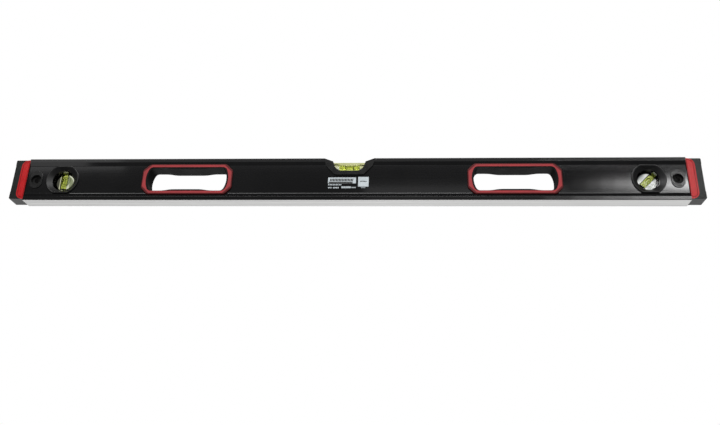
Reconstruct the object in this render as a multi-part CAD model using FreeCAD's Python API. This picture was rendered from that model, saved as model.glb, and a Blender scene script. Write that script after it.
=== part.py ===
import FreeCAD, Part
import math
import os

# Box-section spirit level with two hand holds and three vials.
# X runs along the level, Y through it (front face towards -Y), Z up.
# The origin is the middle of the measuring face, which lies in z = 0. Millimetres.

V = FreeCAD.Vector

# Overall sizes
overall_length = 1000.0
profile_height = 67.0
profile_depth = 23.0
fit_gap = 0.15

# Extruded aluminium profile
strip_height = 5.7
slope_height = 5.6
web_inset = 2.0
web_wall = 1.8
top_flange = 2.6
base_edge_radius = 0.7
top_edge_radius = 0.8
rib_radius = 0.5
web_corner_radius = 2.4
cavity_radius = 1.0

# Magnets in the channel of the lower flange
magnet_length = 40.0
magnet_width = 12.0
magnet_thickness = 4.0
magnet_skin = 1.5
magnet_inner_x = 130.0
magnet_from_end = 129.0

# Rubber end caps
cap_length = 21.0
cap_setback = 2.0
cap_corner_radius = 1.6
cap_edge_radius = 0.6
cap_core_length = 28.0
cap_core_wall = 2.4
bumper_height_top = 8.5
bumper_height_base = 11.0
bumper_step = 0.6

# Red inlays in the caps
inlay_width = 11.5
inlay_corner_radius = 10.0
inlay_seat_depth = 1.2
inlay_rim = 1.9
inlay_joint_share = 0.35
inlay_groove = 0.9
inlay_groove_depth = 0.6
inlay_crown = 0.35

# Hand holds
grip_spacing = 475.0
grip_length = 134.0
grip_overlap = 2.0
grip_corner = 10.0
grip_corner_radius = 7.0
trim_band_end = 5.8
trim_band_side = 5.0
trim_proud = 0.6
trim_edge_radius = 1.1
grip_flange = 1.0
grip_lip_end = 2.7
grip_lip_side = 0.6
hold_end_radius = 35.0
hold_corner_radius = 6.5
grip_bulge = 2.1
grip_bulge_length = 80.0
grip_bulge_flat = 34.0
grip_lip_drop = 0.3
grip_lip_radius = 0.45
grip_wall = 4.4
grip_tongue = 2.0
grip_tongue_wall = 1.0

# Round vial housings
eye_from_end = 54.0
bezel_diameter = 48.6
bezel_edge_gap = 0.45
bezel_rim = 1.4
bezel_edge_radius = 0.6
bezel_mouth_radius = 0.45
eye_aperture = 32.4
eye_back_aperture = 26.0
eye_spigot_wall = 4.8
eye_spigot_lap = 1.6
disc_thickness = 14.0
disc_ledge = 0.4

# Bores and their filling, the same in the two round blocks
round_bore_diameter = 10.4
round_bore_crown = 0.35
round_bore_depth = 12.6
round_plug_length = 3.6
round_bubble_length = 9.6
angle_vial_tilt = 45.0

# Middle vial in its notch
notch_top_width = 74.6
notch_inner_width = 47.6
notch_ramp_drop = 5.3
notch_depth = 20.3
notch_floor_width = 36.6
notch_floor_radius = 11.0
saddle_wall = 1.8
saddle_low_width = 42.0
saddle_border = 6.2
saddle_border_radius = 6.0
saddle_side_draft = 3.0
block_depth = 15.0
block_drop = 5.7
block_seat = 0.8
block_gap = 0.1
long_bore_diameter = 10.4
long_bore_crown = 0.3
long_bore_length = 30.0
long_bore_cover = 1.4
long_bubble_length = 10.4

# Bubbles
bubble_width_share = 0.52
bubble_depth_share = 0.36
bubble_film = 0.35

# Hanging eyelets
eyelet_from_end = 14.0
eyelet_width = 19.0
eyelet_height = 28.0
eyelet_flange = 1.0
eyelet_flange_lap = 0.9
eyelet_bore = 8.0
eyelet_dish = 15.4
eyelet_dish_depth = 4.0
eyelet_dish_taper = 0.4
eyelet_edge_radius = 0.4

# Worked out from the sizes above
half_length = overall_length / 2
profile_half = half_length - cap_length
face_y = profile_depth / 2
web_y = face_y - web_inset
cavity_y = web_y - web_wall
web_low = strip_height + slope_height
web_high = profile_height - web_low
web_height = web_high - web_low
mid_z = profile_height / 2
channel_top = magnet_skin + magnet_thickness
cavity_top = profile_height - top_flange


def rounded_outline(points, radii):
    """Edges of a closed polygon in the XZ plane with each corner rounded by its radius."""
    count = len(points)
    starts, ends, arcs = [], [], []
    for i in range(count):
        corner = V(points[i][0], 0, points[i][1])
        back = V(points[i - 1][0], 0, points[i - 1][1]) - corner
        ahead = V(points[(i + 1) % count][0], 0, points[(i + 1) % count][1]) - corner
        back.normalize()
        ahead.normalize()
        turn = back.getAngle(ahead)
        reach = radii[i] / math.tan(turn / 2)
        starts.append(corner + back * reach)
        ends.append(corner + ahead * reach)
        middle = back + ahead
        if radii[i] > 0 and middle.Length > 1e-9:
            middle.normalize()
            arcs.append(corner + middle * (radii[i] / math.sin(turn / 2) - radii[i]))
        else:
            arcs.append(None)
    edges = []
    for i in range(count):
        if arcs[i] is not None:
            edges.append(Part.Arc(starts[i], arcs[i], ends[i]).toShape())
        following = starts[(i + 1) % count]
        if ends[i].distanceToPoint(following) > 1e-7:
            edges.append(Part.makeLine(ends[i], following))
    return edges


def slab(edges, y_from, y_to):
    """Solid between two Y planes with an outline drawn in the XZ plane."""
    face = Part.Face(Part.Wire(edges))
    face.translate(V(0, y_from, 0))
    return face.extrude(V(0, y_to - y_from, 0))


def octagon(half_x, half_z, corner, x, z):
    """Corners of a rectangle about (x, z) whose corners are cut off at 45 degrees."""
    return [
        (x - half_x + corner, z - half_z),
        (x + half_x - corner, z - half_z),
        (x + half_x, z - half_z + corner),
        (x + half_x, z + half_z - corner),
        (x + half_x - corner, z + half_z),
        (x - half_x + corner, z + half_z),
        (x - half_x, z + half_z - corner),
        (x - half_x, z - half_z + corner),
    ]


def mirrored_y(shape):
    return shape.mirror(V(0, 0, 0), V(0, 1, 0))


def rounded_rim(shape, radius, y, picks=None):
    """Round the edges of a shape that lie in one Y plane."""
    edges = []
    for edge in shape.Edges:
        box = edge.BoundBox
        if abs(box.YMin - y) < 1e-5 and abs(box.YMax - y) < 1e-5:
            if picks is None or picks(edge):
                edges.append(edge)
    return shape.makeFillet(radius, edges)


# Frame profile
def profile_section():
    """Outer section in the YZ plane, drawn as an XZ outline and turned."""
    f, w, h = face_y, web_y, profile_height
    right = [(f, 0), (f, strip_height), (w, web_low), (w, web_high), (f, h - strip_height), (f, h)]
    left = [(-y, z) for y, z in reversed(right)]
    radii = [base_edge_radius, rib_radius, web_corner_radius, web_corner_radius, rib_radius, top_edge_radius]
    return rounded_outline(right + left, radii + radii[::-1])


def along_x(edges, x_from, x_to):
    """Solid along X with a section drawn as (y, z) in the XZ plane."""
    shape = slab(edges, 0, x_to - x_from)
    shape.rotate(V(0, 0, 0), V(0, 0, 1), 90)
    shape.translate(V(x_to, 0, 0))
    return shape


def cavity_section():
    """Hollow of the profile, narrowed near its floor to hold the magnets."""
    channel = magnet_width / 2 + fit_gap
    right = [(channel, magnet_skin), (channel, channel_top), (cavity_y, channel_top), (cavity_y, cavity_top)]
    left = [(-y, z) for y, z in reversed(right)]
    radii = [0, 0, 0, cavity_radius]
    return rounded_outline(right + left, radii + radii[::-1])


def moved_out(points, grow):
    """Corners of a closed outline, listed clockwise, with every side moved out by grow."""
    moved = []
    for i, (x, z) in enumerate(points):
        before, after = points[i - 1], points[(i + 1) % len(points)]
        coming, going = V(x - before[0], 0, z - before[1]), V(after[0] - x, 0, after[1] - z)
        coming.normalize()
        going.normalize()
        outward = V(-coming.z, 0, coming.x) + V(-going.z, 0, going.x)
        reach = 2 * grow / outward.Length ** 2
        moved.append((x + outward.x * reach, z + outward.z * reach))
    return moved


def notch_edges(grow, top):
    """Notch outline with its ramps and round floor corners, moved out by grow and closed at a height."""
    top_x, ramp_x, floor_x = notch_top_width / 2, notch_inner_width / 2, notch_floor_width / 2
    ramp_z, floor_z = profile_height - notch_ramp_drop, profile_height - notch_depth
    edge_z = top - grow
    edge_x = top_x + (edge_z - profile_height) * (top_x - ramp_x) / notch_ramp_drop
    right = [(edge_x, edge_z), (ramp_x, ramp_z), (floor_x, floor_z)]
    left = [(-x, z) for x, z in reversed(right)]
    radius = notch_floor_radius + grow
    return rounded_outline(moved_out(right + left, grow), [0, 0, radius, radius, 0, 0])


def notch_shell(grow, beside, top):
    """Full-depth notch moved out by grow, cut off square beside the outer ends of its ramps."""
    past = face_y + 1
    reach = notch_top_width / 2 + beside
    shell = slab(notch_edges(grow, top), -past, past)
    box = Part.makeBox(2 * reach, 2 * past, profile_height, V(-reach, -past, top - profile_height))
    return shell.common(box)


def saddle_plate_points(grow):
    """Border of the plates that the vial saddle lays on the front and back webs."""
    top_x = notch_top_width / 2 + grow
    low_x = saddle_low_width / 2 + grow
    mid_x = top_x - saddle_side_draft
    mid_height = profile_height - notch_depth / 2 - saddle_border / 4
    low_z = profile_height - notch_depth - saddle_border - grow
    return [(-low_x, low_z), (low_x, low_z), (mid_x, mid_height), (top_x, profile_height),
            (-top_x, profile_height), (-mid_x, mid_height)]


def saddle_plate(grow, y_from, y_to):
    radii = [saddle_border_radius] * 3 + [0, 0] + [saddle_border_radius]
    return slab(rounded_outline(saddle_plate_points(grow), radii), y_from, y_to)


def grip_outline(inset_x, inset_z, x):
    """Octagonal outline of a hand hold, moved in from its outer edge."""
    half_x = grip_length / 2 - inset_x
    half_z = web_height / 2 + grip_overlap - inset_z
    corner = grip_corner - (inset_x + inset_z) * (1 - math.sqrt(0.5))
    radius = grip_corner_radius - (inset_x + inset_z) / 2
    return rounded_outline(octagon(half_x, half_z, corner, x, mid_z), [radius] * 8)


def truncated_disc(radius, half_height, x, y_from, y_to):
    """Disc about the Y axis with its top and bottom cut flat."""
    depth = y_to - y_from
    disc = Part.makeCylinder(radius, depth, V(x, y_from, mid_z), V(0, 1, 0))
    box = Part.makeBox(4 * radius, depth, 2 * half_height, V(x - 2 * radius, y_from, mid_z - half_height))
    return disc.common(box)


def oval(width, height, x, y_from, y_to):
    """Upright slot shape about the Y axis with round ends."""
    radius = width / 2
    lift = height / 2 - radius
    low, high = V(x, y_from, mid_z - lift), V(x, y_from, mid_z + lift)
    depth = y_to - y_from
    box = Part.makeBox(width, depth, 2 * lift, V(x - radius, y_from, mid_z - lift))
    ends = [Part.makeCylinder(radius, depth, p, V(0, 1, 0)) for p in (low, high)]
    return box.fuse(ends).removeSplitter()


grip_x = grip_spacing / 2
eye_x = profile_half - eye_from_end
eyelet_x = profile_half - eyelet_from_end
magnet_outer_x = profile_half - magnet_from_end
window_inset_x = trim_band_end + grip_lip_end - grip_wall
window_inset_z = trim_band_side + grip_lip_side + grip_bulge - grip_wall
bezel_half_height = web_height / 2 - bezel_edge_gap
disc_radius = eye_aperture / 2 + disc_ledge
spigot_radius = disc_radius + eye_spigot_wall
spigot_half_height = bezel_half_height - eye_spigot_lap
eyelet_spigot_width = eyelet_width - 2 * eyelet_flange_lap
eyelet_spigot_height = eyelet_height - 2 * eyelet_flange_lap


def frame_profile():
    body = along_x(profile_section(), -profile_half, profile_half)
    body = body.cut(along_x(cavity_section(), -profile_half, profile_half))
    past = face_y + 1
    cuts = []
    for side in (-1, 1):
        x = side * grip_x
        cuts.append(slab(grip_outline(window_inset_x - fit_gap, window_inset_z - fit_gap, x), -past, past))
        for y in (-1, 1):
            seat = slab(grip_outline(-fit_gap, -fit_gap, x), web_y, past)
            cuts.append(seat if y > 0 else mirrored_y(seat))
        radius, half_height = spigot_radius + fit_gap, spigot_half_height + fit_gap
        cuts.append(truncated_disc(radius, half_height, side * eye_x, -past, past))
        width, height = eyelet_spigot_width + 2 * fit_gap, eyelet_spigot_height + 2 * fit_gap
        cuts.append(oval(width, height, side * eyelet_x, -past, past))
    cuts.append(notch_shell(saddle_wall + fit_gap, fit_gap, profile_height + 1))
    for y_from, y_to in ((-past, -web_y), (web_y, past)):
        cuts.append(saddle_plate(fit_gap, y_from, y_to))
    for cut in cuts:
        body = body.cut(cut)
    return body


# Magnets
def magnet(x):
    corner = V(x - magnet_length / 2, -magnet_width / 2, magnet_skin)
    return Part.makeBox(magnet_length, magnet_width, magnet_thickness, corner)


# End caps
def inlay_outline(inset):
    """D shape at the joint with the profile, for the right cap, moved in by inset and less at the joint."""
    low, high = cap_setback + inset, profile_height - cap_setback - inset
    start, end = profile_half + inset * inlay_joint_share, profile_half + inlay_width - inset
    radius = inlay_corner_radius * (end - start) / inlay_width
    return rounded_outline([(start, low), (end, low), (end, high), (start, high)], [0, radius, radius, 0])


def right_cap():
    low, high = cap_setback, profile_height - cap_setback
    points = [(profile_half, low), (half_length, low), (half_length, high), (profile_half, high)]
    corners = [0, cap_corner_radius, cap_corner_radius, 0]
    body = slab(rounded_outline(points, corners), -face_y, face_y)
    outer = []
    for edge in body.Edges:
        box = edge.BoundBox
        flat = box.YLength < 1e-6
        if flat and box.XMax > profile_half + 1e-3:
            outer.append(edge)
    body = body.makeFillet(cap_edge_radius, outer)
    step_low, step_high = low + bumper_height_base, high - bumper_height_top
    waist = Part.makeBox(bumper_step + 1, profile_depth + 2, step_high - step_low,
                         V(half_length - bumper_step, -face_y - 1, step_low))
    body = body.cut(waist)
    core_from = profile_half - cap_core_length
    core_low, core_high = channel_top + fit_gap, cavity_top - fit_gap
    core_y = cavity_y - fit_gap
    corners = [(core_y, core_low), (core_y, core_high), (-core_y, core_high), (-core_y, core_low)]
    core = along_x(rounded_outline(corners, [0, cavity_radius, cavity_radius, 0]), core_from, profile_half)
    pocket_y, pocket_height = core_y - cap_core_wall, core_high - core_low - 2 * cap_core_wall
    pocket = Part.makeBox(cap_core_length, 2 * pocket_y, pocket_height,
                          V(core_from, -pocket_y, core_low + cap_core_wall))
    body = body.fuse(core).cut(pocket)
    body = body.cut(oval(eyelet_spigot_width + 2 * fit_gap, eyelet_spigot_height + 2 * fit_gap,
                         eyelet_x, -face_y, face_y))
    for y_from, y_to in ((-face_y - 1, -face_y + inlay_seat_depth), (face_y - inlay_seat_depth, face_y + 1)):
        body = body.cut(slab(inlay_outline(0), y_from, y_to))
    return body


def right_inlay():
    """Front inlay of the right cap: a rim, a groove and a raised pad."""
    back = -face_y + inlay_seat_depth
    body = slab(inlay_outline(0), back, -face_y)
    ring = slab(inlay_outline(inlay_rim), -face_y, -face_y + inlay_groove_depth)
    pad_inset = inlay_rim + inlay_groove
    body = body.cut(ring.cut(slab(inlay_outline(pad_inset), -face_y, -face_y + inlay_groove_depth)))
    pad = slab(inlay_outline(pad_inset), -face_y + inlay_groove_depth, -face_y - inlay_crown)
    return body.fuse(pad).removeSplitter()


# Hand holds
def swelling(sign_x, sign_z, half_z):
    """One end of the swelling on a long side of the finger hole, as two arcs that meet smoothly."""
    reach, flat, rise = grip_bulge_length / 2, grip_bulge_flat / 2, grip_bulge / 2
    span = (reach - flat) / 2
    radius = (span ** 2 + rise ** 2) / grip_bulge
    sag = radius - math.sqrt(radius ** 2 - (span / 2) ** 2)
    outline = [(reach, half_z), (reach - span / 2, half_z - sag), (reach - span, half_z - rise),
               (flat + span / 2, half_z - grip_bulge + sag), (flat, half_z - grip_bulge)]
    points = [V(sign_x * x, 0, sign_z * z) for x, z in outline]
    return [Part.Arc(*points[:3]).toShape(), Part.Arc(*points[2:]).toShape()]


def hold_outline(half_x, half_z, end_radius, corner_radius, swells):
    """Outline about the origin with bowed ends and rounded corners, for the finger hole and its trim."""
    end_x = half_x - end_radius
    turn_z = half_z - corner_radius
    turn_x = end_x + math.sqrt((end_radius - corner_radius) ** 2 - turn_z ** 2)
    out = V(turn_x - end_x, 0, turn_z).normalize()
    tip = V(end_x, 0, 0) + out * end_radius
    between = V(turn_x, 0, turn_z) + (out + V(0, 0, 1)).normalize() * corner_radius
    edges = []
    for side in (-1, 1):
        edges.append(Part.Arc(V(side * tip.x, 0, -tip.z), V(side * half_x, 0, 0),
                              V(side * tip.x, 0, tip.z)).toShape())
        for level in (-1, 1):
            edges.append(Part.Arc(V(side * tip.x, 0, level * tip.z),
                                  V(side * between.x, 0, level * between.z),
                                  V(side * turn_x, 0, level * half_z)).toShape())
            if swells:
                edges += swelling(side, level, half_z)
                edges.append(Part.makeLine(V(side * grip_bulge_length / 2, 0, level * half_z),
                                           V(side * turn_x, 0, level * half_z)))
    straight_x, straight_z = (grip_bulge_flat / 2, half_z - grip_bulge) if swells else (turn_x, half_z)
    for level in (-1, 1):
        height = level * straight_z
        edges.append(Part.makeLine(V(-straight_x, 0, height), V(straight_x, 0, height)))
    return Part.__sortEdges__(edges)


def hold_opening(x, y_from, y_to):
    """The finger hole."""
    half_x = grip_length / 2 - trim_band_end - grip_lip_end
    half_z = web_height / 2 + grip_overlap - trim_band_side - grip_lip_side
    shape = slab(hold_outline(half_x, half_z, hold_end_radius, hold_corner_radius, True), y_from, y_to)
    shape.translate(V(x, 0, mid_z))
    return shape


def trim_opening(x, y_from, y_to):
    """The inside of the soft band, which is also the outside of the lip it surrounds."""
    half_x = grip_length / 2 - trim_band_end
    half_z = web_height / 2 + grip_overlap - trim_band_side
    end_radius, corner_radius = hold_end_radius + grip_lip_end, hold_corner_radius + grip_lip_side
    shape = slab(hold_outline(half_x, half_z, end_radius, corner_radius, False), y_from, y_to)
    shape.translate(V(x, 0, mid_z))
    return shape


def front_grip(x):
    """Front half of a hand hold: flange, sleeve and a tongue that enters the back half."""
    lip_y = -(face_y + trim_proud - grip_lip_drop)
    body = trim_opening(x, lip_y, -web_y)
    flange = slab(grip_outline(0, 0, x), -web_y - grip_flange, -web_y)
    sleeve = slab(grip_outline(window_inset_x, window_inset_z, x), -web_y, 0)
    body = body.fuse([flange, sleeve]).removeSplitter()
    body = body.cut(hold_opening(x, lip_y - 1, 1))
    opening = hold_opening(x, 0, 1)

    def on_opening(edge):
        middle = edge.valueAt((edge.FirstParameter + edge.LastParameter) / 2)
        near = Part.Vertex(V(middle.x, 0.5, middle.z))
        return opening.distToShape(near)[0] < 1e-4

    body = rounded_rim(body, grip_lip_radius, lip_y, on_opening)
    tongue = slab(grip_outline(window_inset_x, window_inset_z, x), 0, grip_tongue)
    inner = grip_outline(window_inset_x + grip_tongue_wall, window_inset_z + grip_tongue_wall, x)
    tongue = tongue.cut(slab(inner, 0, grip_tongue))
    return body.fuse(tongue).removeSplitter()


def back_grip(x):
    """Back half: the front half turned about, with room for the tongue."""
    lip_y = face_y + trim_proud - grip_lip_drop
    body = mirrored_y(front_grip(x))
    wall, depth = grip_tongue_wall + fit_gap, grip_tongue + fit_gap
    room = slab(grip_outline(window_inset_x - 1, window_inset_z - 1, x), 0, depth)
    room = room.cut(slab(grip_outline(window_inset_x + wall, window_inset_z + wall, x), 0, depth))
    below = slab(grip_outline(0, 0, x), -lip_y, 0)
    return body.cut(below).cut(room)


def front_trim(x):
    """Soft band moulded onto the flange of a hand hold."""
    face = -(face_y + trim_proud)
    body = slab(grip_outline(0, 0, x), face, -web_y - grip_flange)
    body = rounded_rim(body, trim_edge_radius, face)
    return body.cut(trim_opening(x, face - 1, -web_y))


# Round vials
def front_housing(x, aperture):
    """Front half of a round vial housing: bezel, well that narrows to the aperture, spigot and disc seat."""
    bezel = truncated_disc(bezel_diameter / 2, bezel_half_height, x, -face_y, -web_y)
    bezel = rounded_rim(bezel, bezel_edge_radius, -face_y)
    spigot = truncated_disc(spigot_radius, spigot_half_height, x, -web_y, 0)
    body = bezel.fuse(spigot)
    disc_face = -disc_thickness / 2
    mouth, throat = bezel_diameter / 2 - bezel_rim, aperture / 2
    mouth_height = bezel_half_height - bezel_rim
    well_depth = face_y + disc_face
    well = Part.makeCone(mouth, throat, well_depth, V(x, -face_y, mid_z), V(0, 1, 0))
    wedge = along_x(rounded_outline([(-face_y, mid_z - mouth_height), (disc_face, mid_z - throat),
                                     (disc_face, mid_z + throat), (-face_y, mid_z + mouth_height)], [0] * 4),
                    x - bezel_diameter, x + bezel_diameter)
    seat = Part.makeCylinder(disc_radius + fit_gap, -disc_face, V(x, disc_face, mid_z), V(0, 1, 0))
    body = body.cut(well.common(wedge)).cut(seat)

    def on_mouth(edge):
        middle = edge.valueAt((edge.FirstParameter + edge.LastParameter) / 2)
        across, up = middle.x - x, middle.z - mid_z
        return math.hypot(across, up) < mouth + 1e-3 and abs(up) < mouth_height + 1e-3

    return rounded_rim(body, bezel_mouth_radius, -face_y, on_mouth)


def bore_solid(radius, crown, start, end, centre, axis):
    """Barrel-shaped bore along an axis, widest by crown at its middle."""
    half = (end - start) / 2
    ends = radius - crown
    edges = [
        Part.makeLine(V(start, 0, 0), V(start, 0, ends)),
        Part.Arc(V(start, 0, ends), V(start + half, 0, radius), V(end, 0, ends)).toShape(),
        Part.makeLine(V(end, 0, ends), V(end, 0, 0)),
        Part.makeLine(V(end, 0, 0), V(start, 0, 0)),
    ]
    barrel = Part.Face(Part.Wire(edges)).revolve(V(0, 0, 0), V(1, 0, 0), 360)
    barrel.Placement = FreeCAD.Placement(centre, FreeCAD.Rotation(V(1, 0, 0), axis))
    return barrel


def bubble(length, diameter, centre, axis):
    """Gas bubble lying against the front wall of its bore."""
    wide, deep = diameter * bubble_width_share, diameter * bubble_depth_share
    ball = Part.makeSphere(1.0)
    stretch = FreeCAD.Matrix()
    stretch.scale(length / 2, deep / 2, wide / 2)
    shape = ball.transformGeometry(stretch)
    shape.rotate(V(0, 0, 0), V(0, 1, 0), -math.degrees(math.atan2(axis.z, axis.x)))
    front = diameter / 2 - bubble_film - deep / 2
    shape.translate(centre + V(0, -front, 0))
    return shape


def round_vial(x, tilt):
    """Clear disc with a bore from its rim, the plug that closes it and the fluid inside."""
    centre = V(x, 0, mid_z)
    axis = V(math.cos(math.radians(tilt)), 0, math.sin(math.radians(tilt)))
    disc = Part.makeCylinder(disc_radius, disc_thickness, V(x, -disc_thickness / 2, mid_z), V(0, 1, 0))
    radius = round_bore_diameter / 2
    plug_from = disc_radius - round_plug_length
    barrel = bore_solid(radius, round_bore_crown, -round_bore_depth, plug_from, centre, axis)
    mouth = Part.makeCylinder(radius - round_bore_crown, round_plug_length + 1,
                              centre + axis * plug_from, axis)
    block = disc.cut(barrel).cut(mouth)
    plug = disc.common(mouth)
    fluid = barrel.cut(bubble(round_bubble_length, round_bore_diameter, centre, axis))
    return block, plug, fluid


# Middle vial
def saddle():
    """Moulding that straddles the notch: two plates and the bowl between them."""
    depth = Part.makeBox(2 * notch_top_width, profile_depth, profile_height, V(-notch_top_width, -face_y, 0))
    shell = notch_shell(saddle_wall, 0, profile_height).common(depth)
    plates = [saddle_plate(0, -face_y, -web_y), saddle_plate(0, web_y, face_y)]
    body = shell.fuse(plates).removeSplitter()
    return body.cut(notch_shell(0, 1, profile_height + 1)).cut(vial_block_body(block_gap))


def vial_block_body(grow):
    """Bowl-shaped acrylic body that follows the notch and sinks a little into its floor."""
    half = block_depth / 2 + grow
    body = slab(notch_edges(block_seat + grow, profile_height), -half, half)
    top = profile_height - block_drop
    above = Part.makeBox(2 * notch_top_width, 4 * half, notch_depth + 1, V(-notch_top_width, -2 * half, top))
    return body.cut(above)


def middle_vial():
    block = vial_block_body(0)
    radius = long_bore_diameter / 2
    centre = V(0, 0, profile_height - block_drop - long_bore_cover - radius)
    axis = V(1, 0, 0)
    half = long_bore_length / 2
    barrel = bore_solid(radius, long_bore_crown, -half, half, centre, axis)
    mouth = Part.makeCylinder(radius - long_bore_crown, notch_inner_width, centre - axis * half, axis * -1)
    plug = block.common(mouth)
    fluid = barrel.cut(bubble(long_bubble_length, long_bore_diameter, centre, axis))
    return block.cut(barrel).cut(mouth), plug, fluid


# Hanging eyelets
def front_eyelet(x):
    flange_face = -web_y - eyelet_flange
    flange = oval(eyelet_width, eyelet_height, x, flange_face, -web_y)
    flange = rounded_rim(flange, eyelet_edge_radius, flange_face)
    spigot = oval(eyelet_spigot_width, eyelet_spigot_height, x, -web_y, 0)
    body = flange.fuse(spigot).removeSplitter()
    mouth, floor = eyelet_dish / 2, eyelet_dish / 2 - eyelet_dish_taper
    dish = Part.makeCone(mouth, floor, eyelet_dish_depth, V(x, flange_face, mid_z), V(0, 1, 0))
    bore = Part.makeCylinder(eyelet_bore / 2, profile_depth, V(x, -face_y, mid_z), V(0, 1, 0))
    return body.cut(dish).cut(bore)


def turned_left(shape):
    """The same piece at the other end of the level."""
    return shape.mirror(V(0, 0, 0), V(1, 0, 0))


def all_pieces():
    pieces = {"frame_profile": frame_profile()}
    cap, inlay = right_cap(), right_inlay()
    pieces["right_end_cap"] = cap
    pieces["left_end_cap"] = turned_left(cap)
    pieces["right_cap_inlay_front"] = inlay
    pieces["right_cap_inlay_back"] = mirrored_y(inlay)
    pieces["left_cap_inlay_front"] = turned_left(inlay)
    pieces["left_cap_inlay_back"] = turned_left(mirrored_y(inlay))
    for side, sign in (("left", -1), ("right", 1)):
        trim = front_trim(sign * grip_x)
        pieces[side + "_grip_front"] = front_grip(sign * grip_x)
        pieces[side + "_grip_back"] = back_grip(sign * grip_x)
        pieces[side + "_grip_trim_front"] = trim
        pieces[side + "_grip_trim_back"] = mirrored_y(trim)
        eyelet = front_eyelet(sign * eyelet_x)
        pieces[side + "_eyelet_front"] = eyelet
        pieces[side + "_eyelet_back"] = mirrored_y(eyelet)
    for name, x, tilt in (("plumb", -eye_x, 90.0), ("angle", eye_x, angle_vial_tilt)):
        block, plug, fluid = round_vial(x, tilt)
        pieces[name + "_vial_housing_front"] = front_housing(x, eye_aperture)
        pieces[name + "_vial_housing_back"] = mirrored_y(front_housing(x, eye_back_aperture))
        pieces[name + "_vial_block"] = block
        pieces[name + "_vial_plug"] = plug
        pieces[name + "_vial_fluid"] = fluid
    block, plug, fluid = middle_vial()
    pieces["centre_vial_saddle"] = saddle()
    pieces["centre_vial_block"] = block
    pieces["centre_vial_plug"] = plug
    pieces["centre_vial_fluid"] = fluid
    for number, x in enumerate((-magnet_outer_x, -magnet_inner_x, magnet_inner_x, magnet_outer_x), 1):
        pieces["base_magnet_%d" % number] = magnet(x)
    return pieces


os.makedirs("parts", exist_ok=True)
for name, shape in all_pieces().items():
    solid = shape.Solids[0] if len(shape.Solids) == 1 else shape
    box = solid.BoundBox
    print("%-28s solids %d valid %s volume %.1f  x %.2f %.2f  y %.2f %.2f  z %.2f %.2f" % (
        name, len(shape.Solids), solid.isValid(), solid.Volume,
        box.XMin, box.XMax, box.YMin, box.YMax, box.ZMin, box.ZMax))
    solid.exportStep("parts/%s.step" % name)
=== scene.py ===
import math

import bmesh
import bpy
from mathutils import Matrix, Vector


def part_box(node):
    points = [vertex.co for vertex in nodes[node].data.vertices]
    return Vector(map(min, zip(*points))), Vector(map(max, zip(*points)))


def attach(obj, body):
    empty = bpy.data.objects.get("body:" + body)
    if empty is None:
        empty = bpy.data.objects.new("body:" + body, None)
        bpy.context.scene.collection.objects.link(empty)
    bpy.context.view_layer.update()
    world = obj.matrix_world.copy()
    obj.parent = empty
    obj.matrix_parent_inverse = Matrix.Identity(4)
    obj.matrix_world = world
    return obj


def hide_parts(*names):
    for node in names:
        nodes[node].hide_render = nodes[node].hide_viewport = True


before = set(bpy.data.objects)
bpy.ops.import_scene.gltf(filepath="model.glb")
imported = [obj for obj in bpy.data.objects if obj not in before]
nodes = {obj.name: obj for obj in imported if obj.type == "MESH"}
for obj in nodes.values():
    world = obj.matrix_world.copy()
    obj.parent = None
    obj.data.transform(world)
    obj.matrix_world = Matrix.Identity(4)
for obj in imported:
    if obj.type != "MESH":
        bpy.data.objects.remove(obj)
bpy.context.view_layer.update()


# Frame profile. A hollow aluminium extrusion, powder-coated black all over and then milled bare on the
# measuring face. The coat is smooth with a faint orange peel, and the metal below still has its die lines.
MM = 0.001


def add(tree, kind, inputs=None, **settings):
    """A node with its settings, whose inputs take either a plain value or another node's output."""
    node = tree.nodes.new(kind)
    for name, value in settings.items():
        setattr(node, name, value)
    for name, value in (inputs or {}).items():
        if isinstance(value, bpy.types.NodeSocket):
            tree.links.new(value, node.inputs[name])
        else:
            node.inputs[name].default_value = value
    return node


def new_group(name, inputs, outputs):
    """A shader node group with named number inputs and outputs, and its two end nodes."""
    group = bpy.data.node_groups.new(name, "ShaderNodeTree")
    for socket in inputs:
        group.interface.new_socket(name=socket, in_out="INPUT", socket_type="NodeSocketFloat")
    for socket in outputs:
        group.interface.new_socket(name=socket, in_out="OUTPUT", socket_type="NodeSocketFloat")
    return group, group.nodes.new("NodeGroupInput"), group.nodes.new("NodeGroupOutput")


def new_material(name, **plain):
    """A node material and its Principled shader, with the shader's plain values set on its own sockets."""
    material = bpy.data.materials.new(name)
    material.use_nodes = True
    shader = material.node_tree.nodes["Principled BSDF"]
    for socket, value in plain.items():
        shader.inputs[socket.replace("_", " ")].default_value = value
    return material, material.node_tree, shader


def maths(tree, operation, *values):
    """The output of one sum on numbers or sockets."""
    node = tree.nodes.new("ShaderNodeMath")
    node.operation = operation
    for socket, value in zip(node.inputs, values):
        if isinstance(value, bpy.types.NodeSocket):
            tree.links.new(value, socket)
        else:
            socket.default_value = value
    return node.outputs[0]


def between(tree, value, low, high, to_low=0.0, to_high=1.0):
    """A value eased from one range into another."""
    ranges = {"Value": value, "From Min": low, "From Max": high, "To Min": to_low, "To Max": to_high}
    node = add(tree, "ShaderNodeMapRange", ranges, interpolation_type="SMOOTHSTEP")
    return node.outputs["Result"]


def mixed(tree, factor, first, second):
    """Two colours mixed by a factor."""
    node = tree.nodes.new("ShaderNodeMix")
    node.data_type = "RGBA"
    for socket, value in zip((node.inputs[0], node.inputs[6], node.inputs[7]), (factor, first, second)):
        if isinstance(value, bpy.types.NodeSocket):
            tree.links.new(value, socket)
        else:
            socket.default_value = value
    return node.outputs[2]


def coordinates(tree, output="Object"):
    """The X, Y and Z of a place on the piece or, as Generated, of a direction in the world."""
    place = add(tree, "ShaderNodeTexCoord").outputs[output]
    return add(tree, "ShaderNodeSeparateXYZ", {0: place}).outputs


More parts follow.
